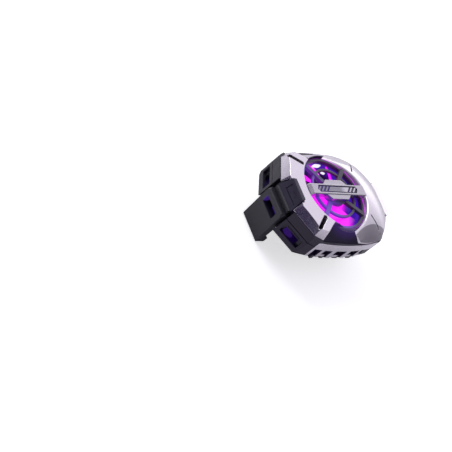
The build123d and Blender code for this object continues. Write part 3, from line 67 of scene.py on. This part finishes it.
def linear(*eight_bit):
    """A screen colour, given in steps of 0 to 255, as the light that it stands for."""
    steps = np.array(eight_bit, float) / 255
    light = np.where(steps <= 0.04045, steps / 12.92, ((steps + 0.055) / 1.055) ** 2.4)
    return (*light.tolist(), 1.0)


class Wire:
    """One changing value of a finish: an operator on it adds the node that works it out."""

    def __init__(self, finish, socket):
        self.finish = finish
        self.socket = socket

    def _maths(self, operation, first, second):
        return self.finish.node("ShaderNodeMath", {"operation": operation}, {0: first, 1: second})

    def __add__(self, other):
        return self._maths("ADD", self, other)

    def __rsub__(self, other):
        return self._maths("SUBTRACT", other, self)

    def __mul__(self, other):
        return self._maths("MULTIPLY", self, other)

    def __rmul__(self, other):
        return self._maths("MULTIPLY", other, self)


class Finish:
    """A material, or the world, built up node by node from its own main shader."""

    def __init__(self, holder, shader="Principled BSDF", place="Object"):
        self.holder = holder
        self.holder.use_nodes = True
        self.tree = self.holder.node_tree
        self.shader = self.tree.nodes[shader]
        self.place = self.node("ShaderNodeTexCoord", out=place)

    def node(self, kind, settings=None, values=None, out=0):
        """Add a node: its settings first, then the value or link of each socket."""
        made = self.tree.nodes.new(kind)
        for name, setting in (settings or {}).items():
            setattr(made, name, setting)
        for name, value in (values or {}).items():
            self.join(made.inputs[name], value)
        return Wire(self, made.outputs[out])

    def join(self, socket, value):
        """Link a wire to a socket, or set the socket to a plain value."""
        if isinstance(value, Wire):
            self.tree.links.new(value.socket, socket)
        else:
            socket.default_value = value

    def towards(self, x, y, z):
        """How far a point lies along a direction, in metres for a direction of length 1."""
        return self.node(
            "ShaderNodeVectorMath",
            {"operation": "DOT_PRODUCT"},
            {0: self.place, 1: (x, y, z)},
            "Value",
        )

    def from_axis(self):
        """How far a point lies from the fan's axis, in metres."""
        flat = self.node(
            "ShaderNodeVectorMath",
            {"operation": "MULTIPLY"},
            {0: self.place, 1: (1.0, 1.0, 0.0)},
        )
        return self.node("ShaderNodeVectorMath", {"operation": "LENGTH"}, {0: flat}, "Value")

    def spot(self, middle, reach):
        """1 in a soft-cornered block about a point, 0 outside, with its reach along each axis."""
        off = self.node(
            "ShaderNodeVectorMath",
            {"operation": "SUBTRACT"},
            {0: self.place, 1: middle},
        )
        share = self.node("ShaderNodeVectorMath", {"operation": "DIVIDE"}, {0: off, 1: reach})
        squared = self.node("ShaderNodeVectorMath", {"operation": "MULTIPLY"}, {0: share, 1: share})
        away = self.node("ShaderNodeVectorMath", {"operation": "LENGTH"}, {0: squared}, "Value")
        return self.ramp(away, 1.15, 0.85)

    def grain(self, scale, detail=2.0):
        """Cloudy noise from 0 to 1, its grains 1 / scale metres apart."""
        return self.node(
            "ShaderNodeTexNoise",
            values={"Vector": self.place, "Scale": scale, "Detail": detail},
        )

    def ramp(self, value, low, high, to_low=0.0, to_high=1.0):
        """Smooth step of a value between low and high."""
        return self.node(
            "ShaderNodeMapRange",
            {"interpolation_type": "SMOOTHSTEP"},
            {
                "Value": value,
                "From Min": low,
                "From Max": high,
                "To Min": to_low,
                "To Max": to_high,
            },
        )

    def mix(self, share, first, second):
        """Colour between first and second."""
        return self.node("ShaderNodeMix", {"data_type": "RGBA"}, {0: share, 6: first, 7: second}, 2)

    def edges(self, radius):
        """Surface direction with the edges rounded off by a radius."""
        return self.node("ShaderNodeBevel", {"samples": 6}, {"Radius": radius})

    def bump(self, height, distance, radius):
        """Rounded surface direction, roughened by a height map."""
        return self.node(
            "ShaderNodeBump",
            values={
                "Height": height,
                "Distance": distance,
                "Strength": 0.5,
                "Normal": self.edges(radius),
            },
        )

    def shade(self, **sockets):
        """Set the shader's sockets; an underscore in a name stands for a space."""
        for name, value in sockets.items():
            self.join(self.shader.inputs[name.replace("_", " ")], value)

    def put_on(self, *nodes):
        """Give the finish to the frame's own pieces."""
        for name in nodes:
            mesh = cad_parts[name].data
            mesh.materials.clear()
            mesh.materials.append(self.holder)


no_light = linear(0, 0, 0)
duct_radius = 0.0208
opening_radius = 0.0216
deck_height = 0.0242

plastic = Finish(bpy.data.materials.new("charcoal_plastic"))
plastic_cloud = plastic.grain(180.0)
plastic_height = plastic.towards(0.0, 0.0, 1.0)
# Painted violet light: the side towards -Y, and a little towards -X, is tinted plum.
painted_violet_side = plastic.ramp(plastic.towards(-0.5, -1.0, 0.0), 0.004, 0.022)
# Painted highlight: the plastic above the deck is paler.
painted_rim_highlight = plastic.ramp(plastic_height, deck_height, deck_height + 0.0002)
above_back = plastic.ramp(plastic_height, 0.0024, 0.0031)
duct_glow = plastic.ramp(plastic.from_axis(), duct_radius, duct_radius - 0.0005) * above_back
duct_top = plastic.ramp(plastic_height, 0.0203, 0.0187)
duct_foot = plastic.ramp(plastic_height, 0.0172, 0.0120)
daylight = plastic.spot((0.0017, 0.0196, 0.0174), (0.0027, 0.02, 0.0015))
low_daylight = plastic.spot((0.0090, 0.0175, 0.0141), (0.0011, 0.02, 0.0008))
corner_glow = plastic.spot((-0.0248, -0.0126, 0.0050), (0.0036, 0.0030, 0.0034))
side_glow = plastic.spot((-0.0284, -0.0030, 0.0045), (0.0006, 0.0050, 0.0030))
plastic.shade(
    Base_Color=plastic.mix(
        painted_rim_highlight,
        plastic.mix(
            painted_violet_side,
            plastic.mix(plastic_cloud, linear(36, 34, 44), linear(46, 44, 54)),
            plastic.mix(plastic_cloud, linear(30, 20, 48), linear(40, 30, 58)),
        ),
        linear(88, 84, 94),
    ),
    Roughness=plastic.ramp(plastic_cloud, 0.3, 0.7, 0.34, 0.44),
    Normal=plastic.bump(plastic.grain(9000.0, 1.0), 0.00002, 0.0003),
    Emission_Color=plastic.mix(
        duct_glow,
        plastic.mix((corner_glow + side_glow) * above_back, no_light, linear(40, 19, 84)),
        plastic.mix(
            daylight + low_daylight,
            plastic.mix(
                duct_top,
                linear(16, 8, 34),
                plastic.mix(duct_foot, linear(64, 22, 164), linear(34, 14, 80)),
            ),
            linear(250, 248, 252),
        ),
    ),
    Emission_Strength=1.0,
)
plastic.put_on("back_shell", "mid_frame", "fan_base")

# The two sloping panels are glossy and plum in colour. The upper one's outer face is
# painted pale, a painted reflection on its gloss where the camera sees it nearly edge
# on, and violet light is painted as glow on the lower one's foot.

panel = Finish(bpy.data.materials.new("panel_plastic"))
panel_radius = panel.from_axis()
panel_outer = panel.ramp(panel_radius, opening_radius + 0.0003, opening_radius + 0.0006)
painted_sheen_face = panel.ramp(panel.towards(0.0, 1.0, 0.0), -0.002, 0.002) * panel_outer
panel_foot = panel.ramp(panel_radius, 0.0268, 0.0218)
lower_foot = panel.ramp(panel.towards(0.0, -1.0, 0.0), 0.0, 0.005) * panel_foot
panel.shade(
    Base_Color=panel.mix(
        painted_sheen_face,
        panel.mix(panel.grain(240.0), linear(34, 26, 52), linear(44, 36, 62)),
        linear(196, 191, 203),
    ),
    Roughness=0.24,
    Normal=panel.edges(0.0003),
    Emission_Color=panel.mix(lower_foot, no_light, linear(40, 18, 78)),
    Emission_Strength=1.0,
)
panel.put_on("upper_panel", "lower_panel")

# The clip arms are moulded in the same charcoal plastic, a little lighter. A patch of
# violet light falls on the upper side of the left arm's window.

arm = Finish(bpy.data.materials.new("clip_plastic"))
arm_cloud = arm.grain(180.0)
window_glow = arm.spot((-0.0318, 0.0055, 0.0071), (0.0026, 0.0004, 0.0026))
arm.shade(
    Base_Color=arm.mix(arm_cloud, linear(46, 46, 54), linear(56, 56, 64)),
    Roughness=arm.ramp(arm_cloud, 0.3, 0.7, 0.34, 0.44),
    Normal=arm.bump(arm.grain(9000.0, 1.0), 0.00002, 0.0003),
    Emission_Color=arm.mix(window_glow, no_light, linear(50, 24, 104)),
    Emission_Strength=1.0,
)
arm.put_on("left_arm", "right_claw")

# The silver covers, the claw cap, the vent trims and the bar are moulded parts with
# a satin metallic paint, which is less metallic on the wall of the fan's opening. The
# colour on that wall and inward of it is painted darker, a painted shade. They snap
# onto the frame from the front.

silver = Finish(bpy.data.materials.new("silver_paint"))
silver_radius = silver.from_axis()
past_bar = silver.ramp(silver_radius, 0.0210, 0.0212)
rim_wall = past_bar * silver.ramp(silver_radius, 0.0220, 0.0219)
silver.shade(
    # Painted shade: darker inside the rim of the opening.
    Base_Color=silver.mix(
        silver.ramp(silver_radius, duct_radius, opening_radius),
        linear(196, 191, 201),
        silver.mix(silver.grain(60.0), linear(228, 221, 232), linear(236, 230, 240)),
    ),
    Metallic=0.96 - 0.76 * rim_wall,
    Roughness=silver.ramp(silver.grain(700.0), 0.3, 0.7, 0.21, 0.24),
    Normal=silver.edges(0.0004),
)
silver.put_on("left_cover", "right_cover", "claw_cap", "upper_vent_trim", "lower_vent_trim")
silver.put_on("badge_bar")

# The plate and the slanted stripes stand on the bar's window. They are painted a
# duller silver grey, which is paler at their right end.

stripes = Finish(bpy.data.materials.new("dull_silver_paint"))
pale_end = stripes.ramp(stripes.towards(1.0, 0.0, 0.0), 0.001, 0.006)
stripes.shade(
    Base_Color=stripes.mix(
        pale_end,
        stripes.mix(stripes.grain(300.0), linear(146, 142, 154), linear(154, 150, 162)),
        linear(206, 202, 212),
    ),
    Metallic=0.96,
    Roughness=0.24,
)
stripes.put_on("badge_stripes")

# The grille is one moulding in black plastic: a ring that sits on the fan duct, four
# spokes, an inner ring and the hub that the bar is screwed to. The lit wheel behind
# it colours its lower left part violet.

black = Finish(bpy.data.materials.new("black_plastic"))
black_cloud = black.grain(240.0)
black_glow = black.ramp(black.towards(-0.9, -0.44, 0.0), -0.002, 0.012)
black.shade(
    Base_Color=black.mix(black_cloud, linear(58, 57, 66), linear(72, 70, 80)),
    Roughness=black.ramp(black_cloud, 0.3, 0.7, 0.34, 0.42),
    Normal=black.bump(black.grain(9000.0, 1.0), 0.00002, 0.0002),
    Emission_Color=black.mix(black_glow, linear(6, 2, 20), linear(90, 42, 168)),
    Emission_Strength=1.0,
)
black.put_on("grille")

# The knuckle of the left arm sits in the notch of the left cover. It is moulded in
# plum plastic, and so is the small panel inset in its front.

inset = Finish(bpy.data.materials.new("inset_plastic"))
inset.shade(
    Base_Color=inset.mix(inset.grain(240.0), linear(44, 38, 60), linear(58, 52, 74)),
    Roughness=0.3,
)
inset.put_on("left_knuckle", "knuckle_insert", "board_chips")

# The dark window of the bar is a glossy strip set below its face, more violet at its
# left end.

window = Finish(bpy.data.materials.new("dark_window"))
window_end = window.ramp(window.towards(1.0, 0.0, 0.0), -0.014, 0.014)
window.shade(
    Base_Color=window.mix(window_end, linear(58, 22, 120), linear(38, 28, 60)),
    Roughness=0.2,
)
window.put_on("badge_insert")

# The light ring is a milky guide that carries magenta light up to the rim of the
# opening, where it shows on the right side. The lamps under it are small white blocks.

glow = Finish(bpy.data.materials.new("light_guide"))
glow_side = glow.ramp(glow.towards(0.9, 0.42, 0.0), 0.0105, 0.0140)
glow_edge = glow.ramp(glow.from_axis(), 0.02105, 0.02120)
glow.shade(
    Base_Color=glow.mix(glow.grain(120.0), linear(120, 30, 150), linear(140, 40, 170)),
    Roughness=0.4,
    Emission_Color=glow.mix(glow_side * glow_edge, linear(12, 4, 30), linear(190, 32, 210)),
    Emission_Strength=1.0,
)
glow.put_on("light_ring")

# The fan wheel is moulded in clear smoky plastic and lit from the ring: magenta where
# the light falls on its blades, and deep violet away from it.

wheel = Finish(bpy.data.materials.new("lit_wheel"))
wheel_glow = wheel.ramp(wheel.towards(1.0, 0.0, 0.0), 0.006, 0.0115)
wheel.shade(
    Base_Color=wheel.mix(wheel_glow, linear(110, 16, 140), linear(40, 16, 96)),
    Roughness=0.22,
    Emission_Color=wheel.mix(wheel_glow, linear(250, 34, 250), linear(54, 18, 152)),
    Emission_Strength=1.0,
)
wheel.put_on("impeller")

# Inside, out of sight or nearly so, are the motor, the cooling stack and the boards.
# The heatsink's left end catches the violet light that shows in the windows.

metal = Finish(bpy.data.materials.new("bare_metal"))
metal_brush = metal.node(
    "ShaderNodeTexNoise",
    values={
        "Vector": metal.node(
            "ShaderNodeMapping",
            values={"Vector": metal.place, "Scale": (400.0, 9000.0, 400.0)},
        ),
        "Scale": 1.0,
        "Detail": 3.0,
    },
)
metal.shade(
    Base_Color=metal.mix(metal_brush, linear(150, 150, 155), linear(190, 190, 194)),
    Metallic=1.0,
    Roughness=metal.ramp(metal_brush, 0.3, 0.7, 0.28, 0.42),
)
metal.put_on("body_screws", "fan_screws", "badge_screws", "rotor_shaft", "shaft_clip")
metal.put_on("stator_core", "usb_socket", "cold_plate", "rotor_magnet")

fins = Finish(bpy.data.materials.new("lit_aluminium"))
fins_glow = fins.ramp(fins.towards(-1.0, 0.0, 0.0), 0.004, 0.019)
fins.shade(
    Base_Color=fins.mix(fins.grain(2000.0), linear(128, 128, 134), linear(150, 150, 156)),
    Metallic=1.0,
    Roughness=0.4,
    Emission_Color=fins.mix(fins_glow, linear(24, 10, 50), linear(74, 30, 158)),
    Emission_Strength=1.0,
)
fins.put_on("heatsink")

bronze = Finish(bpy.data.materials.new("sintered_bronze"))
bronze.shade(
    Base_Color=bronze.mix(bronze.grain(4000.0), linear(150, 110, 60), linear(190, 145, 85)),
    Metallic=1.0,
    Roughness=0.4,
)
bronze.put_on("bearing_sleeve")

copper = Finish(bpy.data.materials.new("copper_winding"))
copper.shade(
    Base_Color=copper.mix(copper.grain(3000.0), linear(150, 70, 35), linear(200, 105, 60)),
    Metallic=0.8,
    Roughness=0.3,
)
copper.put_on("stator_coils")

board = Finish(bpy.data.materials.new("circuit_board"))
board.shade(
    Base_Color=board.mix(board.grain(900.0), linear(14, 44, 34), linear(22, 60, 46)),
    Roughness=0.35,
)
board.put_on("led_board", "motor_board", "control_board")

ceramic = Finish(bpy.data.materials.new("white_ceramic"))
ceramic.shade(
    Base_Color=ceramic.mix(ceramic.grain(2000.0), linear(216, 216, 212), linear(228, 228, 224)),
    Roughness=0.45,
)
ceramic.put_on("peltier_module", "leds")

rubber = Finish(bpy.data.materials.new("soft_rubber"))
rubber_cloud = rubber.grain(700.0)
rubber.shade(
    Base_Color=rubber.mix(rubber_cloud, linear(96, 88, 96), linear(112, 103, 112)),
    Roughness=rubber.ramp(rubber_cloud, 0.3, 0.7, 0.62, 0.74),
    Normal=rubber.bump(rubber.grain(5000.0), 0.00003, 0.0003),
)
rubber.put_on("left_arm_pad", "right_claw_pad", "contact_pad", "insulation_gasket")

# Two steel springs a side draw the arms in. Each coil lies between the crossbar of
# its arm and the wall of the body. In the real cooler each coil shortens as the arm
# slides out; here the coils ride with the body at one length.

spring_places = [(0.0034, 0.00465), (-0.0034, 0.00465)]
coil_radius = 0.00095
wire_radius = 0.0002


def coil_springs(name, wall_x, end_x, turns):
    """Springs along X: a small circle carried along a helix of even pitch.

    The helix runs once round its axis for each turn, at coil_radius, and the circle
    stands square to it; the first and last half turns close up to form flat ends.
    """
    steps = np.linspace(0.0, 1.0, 26 * turns + 1)[:, None]
    around = np.linspace(0.0, 2 * np.pi, 9)[None, :-1]
    angle = 2 * np.pi * turns * steps
    rise = np.clip((steps * turns - 0.5) / (turns - 1), 0.0, 1.0)
    reach = abs(end_x - wall_x) - 2 * wire_radius
    along = wire_radius + reach * rise + wire_radius * np.sin(around)
    radius = coil_radius + wire_radius * np.cos(around)
    x = wall_x + np.sign(end_x - wall_x) * along
    rows, columns = len(steps), around.shape[1]
    row, column = np.meshgrid(np.arange(rows - 1), np.arange(columns), indexing="ij")
    following = (column + 1) % columns
    faces = np.stack(
        [
            row * columns + column,
            (row + 1) * columns + column,
            (row + 1) * columns + following,
            row * columns + following,
        ],
        -1,
    ).reshape(-1, 4)
    caps = [np.arange(columns)[::-1].tolist(), ((rows - 1) * columns + np.arange(columns)).tolist()]
    points, polygons = [], []
    for y, z in spring_places:
        first = sum(len(block) for block in points)
        points.append(
            np.stack([x + 0 * angle, y + radius * np.cos(angle), z + radius * np.sin(angle)], -1)
            .reshape(-1, 3)
        )
        polygons += (faces + first).tolist() + [[corner + first for corner in cap] for cap in caps]
    mesh = bpy.data.meshes.new(name)
    mesh.from_pydata(np.concatenate(points).tolist(), [], polygons)
    mesh.polygons.foreach_set("use_smooth", [True] * len(mesh.polygons))
    mesh.materials.append(metal.holder)
    made = bpy.data.objects.new(name, mesh)
    bpy.context.scene.collection.objects.link(made)
    return made


for name, joint, turns, keep in (
    ("left_springs", "left_clip_slide", 8, 0.31),
    ("right_springs", "right_clip_slide", 16, 0.38),
):
    low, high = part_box(name)
    wall_x, end_x = (low.x, high.x) if high.x < 0 else (high.x, low.x)
    coils = coil_springs(name + "_coils", wall_x, end_x, turns)
    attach(coils, "body")
    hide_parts(name)
    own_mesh(coils)

# The floor is a plain pale sheet under the tips of the arms. Seen by the camera it is
# as bright as the backdrop, and it still takes the shadow.


def sheet(name, half, height):
    """Flat square sheet: a grid of two parameters, each from one edge to the other."""
    across = np.linspace(-half, half, 2)
    x, y = np.meshgrid(across, across, indexing="ij")
    points = np.stack([x, y, np.full_like(x, height)], -1)
    mesh = bpy.data.meshes.new(name)
    mesh.from_pydata(points.reshape(-1, 3).tolist(), [], [(0, 2, 3, 1)])
    made = bpy.data.objects.new(name, mesh)
    bpy.context.scene.collection.objects.link(made)
    return made


floor_half = 6.0
floor = sheet("floor", floor_half, cad_box[0].z)
paper = Finish(bpy.data.materials.new("pale_floor"))
seen = paper.node("ShaderNodeLightPath", out="Is Camera Ray")
paper.shade(
    Base_Color=paper.mix(paper.grain(40.0), linear(226, 226, 228), linear(230, 230, 232)),
    Roughness=0.9,
    Emission_Color=paper.mix(seen, no_light, linear(205, 205, 205)),
    Emission_Strength=1.0,
)
floor.data.materials.append(paper.holder)

# One soft lamp stands behind and above the fan. The room is pale, and darker on the
# side that the camera stands on, so that the silver facets which face it go dark.


def lamp(name, place, aim, size, power):
    """Soft square lamp at a place, turned towards a point."""
    light = bpy.data.lights.new(name, "AREA")
    light.size = size
    light.energy = power
    holder = bpy.data.objects.new(name, light)
    bpy.context.scene.collection.objects.link(holder)
    away = np.array(place, float) - np.array(aim, float)
    away /= np.linalg.norm(away)
    side = np.cross((0.0, 0.0, 1.0), away)
    side /= np.linalg.norm(side)
    up = np.cross(away, side)
    turned = Matrix(np.column_stack([side, up, away]).tolist()).to_4x4()
    turned.translation = place
    holder.matrix_world = turned


body_middle = (0.0, 0.0, 0.012)
lamp("key_lamp", (-0.25, 0.75, 0.75), aim=body_middle, size=0.6, power=4.5)

world = bpy.data.worlds.new("studio")
bpy.context.scene.world = world
room = Finish(world, "Background", "Generated")
room_side = room.ramp(room.towards(0.92, 0.25, 0.3), -0.75, 0.55)
room_screen = room.ramp(room.towards(0.85, -0.47, 0.25), 0.76, 0.98)
room_window = room.ramp(room.towards(0.8, 0.6, 0.0), 0.86, 0.98)
room.shade(
    Color=room.mix(
        room_screen,
        room.mix(
            room_window,
            room.mix(room_side, linear(38, 28, 62), linear(240, 237, 246)),
            (1.5, 1.5, 1.5, 1.0),
        ),
        linear(96, 94, 102),
    ),
    Strength=1.0,
)

# The camera looks along the photograph's line of sight, with the same field of view.
# Its three directions and its place come from a fit to the photograph.

camera_data = bpy.data.cameras.new("camera")
camera_data.sensor_width = 36.0
camera_data.lens = 111.03
camera_data.clip_start = 0.05
camera_data.clip_end = 20.0
camera = bpy.data.objects.new("camera", camera_data)
bpy.context.scene.collection.objects.link(camera)
camera_right = (0.71449611, -0.34770118, 0.60712371)
camera_up = (-0.01311298, 0.86095899, 0.50850532)
camera_back = (-0.69951652, -0.37128627, 0.61059246)
turned = Matrix(np.column_stack([camera_right, camera_up, camera_back]).tolist()).to_4x4()
turned.translation = (-0.5394, -0.2608, 0.4166)
camera.matrix_world = turned
bpy.context.scene.camera = camera

bpy.context.scene.view_settings.view_transform = "Standard"
